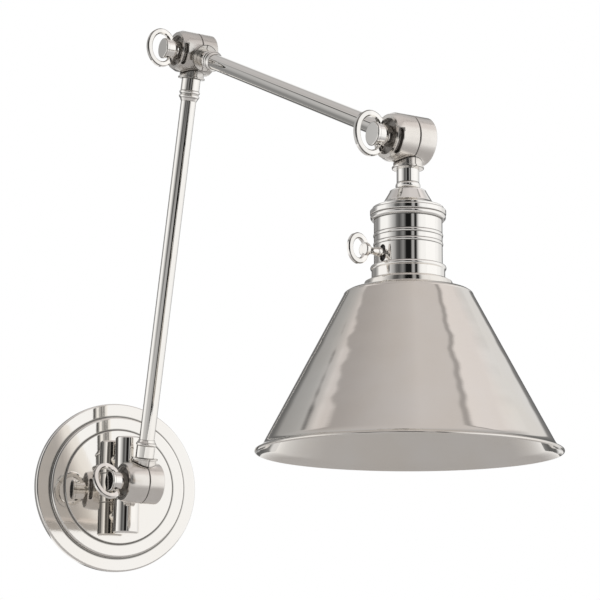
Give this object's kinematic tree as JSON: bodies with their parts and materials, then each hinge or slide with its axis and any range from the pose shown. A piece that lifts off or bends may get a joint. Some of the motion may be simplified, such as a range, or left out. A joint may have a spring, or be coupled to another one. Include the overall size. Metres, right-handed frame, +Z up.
{
  "type": "swing arm wall sconce",
  "caption": "Swing arm wall lamp with a round stepped backplate, jointed arm tubes on clamp knuckles, a keyed socket and a conical metal shade.",
  "frame": {"origin": "centre of the backplate on the wall, midway between the strap's screw slots", "axes": "+Z up, wall plane Y = 0, the lamp stands out towards -Y, +X to the right seen from the room"},
  "size_m": [0.2255, 0.5503, 0.4381],
  "materials": {
    "polished_nickel": "polished nickel plate",
    "satin_nickel": "soft satin nickel",
    "shade_nickel": "polished nickel plate on spun metal",
    "dark_steel": "plain steel",
    "phenolic": "moulded phenolic",
    "brass": "plain brass"
  },
  "bodies": {
    "root": {"backplate": "polished_nickel", "mounting_strap": "dark_steel", "rim_grub_screw": "dark_steel", "post_upper": "polished_nickel", "post_lower": "polished_nickel", "post_screws": "dark_steel", "barrel_upper": "polished_nickel", "barrel_lower": "polished_nickel", "barrel_pin": "dark_steel", "barrel_washers": "dark_steel"},
    "swing": {"barrel_middle": "polished_nickel", "base_half_a": "satin_nickel", "base_washer": "dark_steel"},
    "lower_arm": {"base_half_b": "satin_nickel", "lower_base_collar": "polished_nickel", "lower_tube": "polished_nickel", "lower_elbow_collar": "polished_nickel", "elbow_half_b": "satin_nickel"},
    "upper_arm": {"elbow_half_a": "satin_nickel", "elbow_washer": "dark_steel", "upper_elbow_collar": "polished_nickel", "upper_tube": "polished_nickel", "upper_head_collar": "polished_nickel", "head_half_a": "satin_nickel", "head_washer": "dark_steel"},
    "head": {"head_half_b": "satin_nickel", "head_collar": "polished_nickel", "socket_cap": "polished_nickel", "socket_shell": "polished_nickel", "socket_rim": "polished_nickel", "socket_body": "phenolic", "centre_contact": "brass", "screw_shell": "brass", "shade": "shade_nickel", "shade_ring_nut": "polished_nickel"},
    "base_clamp": {"base_knob": "polished_nickel"},
    "elbow_clamp": {"elbow_knob": "polished_nickel"},
    "head_clamp": {"head_knob": "polished_nickel"},
    "key": {"turn_key": "polished_nickel"}
  },
  "joints": [
    {"name": "barrel_swing", "type": "hinge", "parent": "root", "child": "swing", "pos_m": [0, -0.0313, 0], "axis": [0, 0, 1], "range_deg": [-42, 68]},
    {"name": "base_tilt", "type": "hinge", "parent": "swing", "child": "lower_arm", "pos_m": [0.00317, -0.05716, 0], "axis": [0.9925, 0.1219, 0], "range_deg": [-11, 108]},
    {"name": "elbow_bend", "type": "hinge", "parent": "lower_arm", "child": "upper_arm", "pos_m": [0.01203, -0.12927, 0.34994], "axis": [-0.9925, -0.1219, 0], "range_deg": [-3, 120]},
    {"name": "head_tilt", "type": "hinge", "parent": "upper_arm", "child": "head", "pos_m": [0.05046, -0.44229, 0.21005], "axis": [-0.9925, -0.1219, 0], "range_deg": [-40, 90]},
    {"name": "base_clamp_turn", "type": "hinge", "parent": "lower_arm", "child": "base_clamp", "pos_m": [0.00317, -0.05716, 0], "axis": [-0.9925, -0.1219, 0], "range_deg": [-180, 180]},
    {"name": "elbow_clamp_turn", "type": "hinge", "parent": "lower_arm", "child": "elbow_clamp", "pos_m": [0.01203, -0.12927, 0.34994], "axis": [-0.9925, -0.1219, 0], "range_deg": [-180, 180]},
    {"name": "head_clamp_turn", "type": "hinge", "parent": "head", "child": "head_clamp", "pos_m": [0.05046, -0.44229, 0.21005], "axis": [-0.9925, -0.1219, 0], "range_deg": [-180, 180]},
    {"name": "key_turn", "type": "hinge", "parent": "head", "child": "key", "pos_m": [0.05069, -0.44413, 0.12707], "axis": [-0.9659, -0.2588, 0.0031], "continuous": true}
  ]
}
